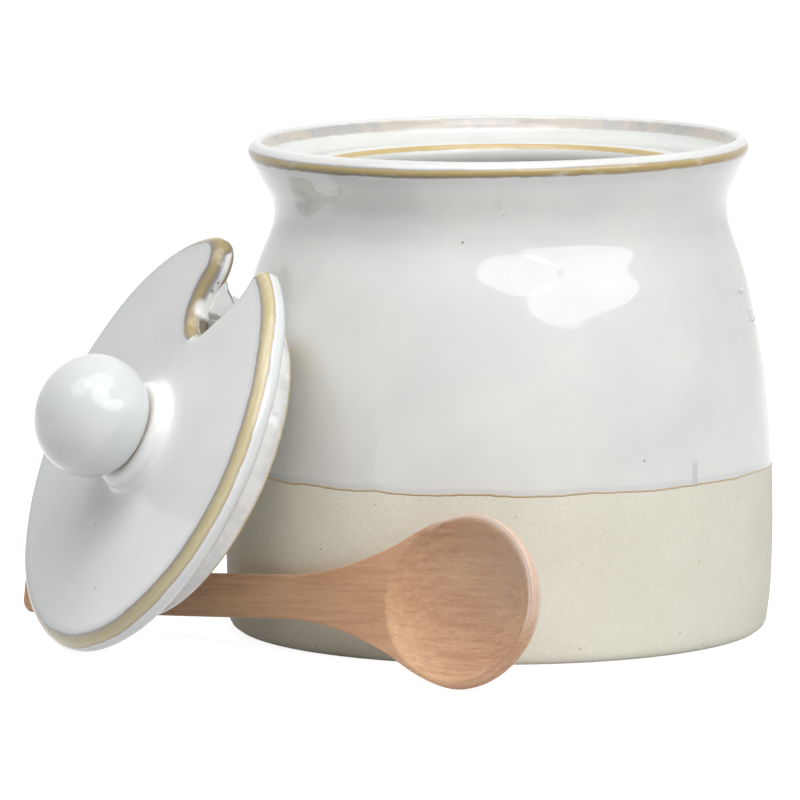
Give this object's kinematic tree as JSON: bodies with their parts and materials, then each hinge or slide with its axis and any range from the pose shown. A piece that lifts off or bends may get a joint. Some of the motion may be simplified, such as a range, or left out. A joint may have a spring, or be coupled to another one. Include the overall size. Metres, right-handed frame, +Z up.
{
  "type": "sugar pot",
  "caption": "Stoneware sugar pot, glazed white over a bare clay foot band, with its notched lid leaning against it and a wooden spoon standing in front.",
  "frame": {"origin": "centre of the pot's flat base, on the surface that it stands on", "axes": "+Z up along the pot's axis; the picture's viewer is on the -Y side, with +X to the right, so the lid leans on the -X side"},
  "size_m": [0.1487, 0.1464, 0.097],
  "materials": {
    "white_glaze": "glossy white glaze that breaks to gold brown on edges, over bare beige stoneware on the lowest third of the pot",
    "spoon_wood": "fine sanded pinkish brown wood, unvarnished"
  },
  "bodies": {
    "pot": {"pot": "white_glaze"},
    "lid": {"lid": "white_glaze", "lid_knob": "white_glaze"},
    "spoon": {"spoon": "spoon_wood"}
  },
  "joints": [
    {"name": "lid_lift", "type": "slide", "parent": "pot", "child": "lid", "axis": [-0.8187, -0.3853, 0.4258], "range_m": [0, 0.1]},
    {"name": "spoon_draw", "type": "slide", "parent": "pot", "child": "spoon", "axis": [0.6741, -0.7324, 0.0961], "range_m": [0, 0.12]}
  ]
}
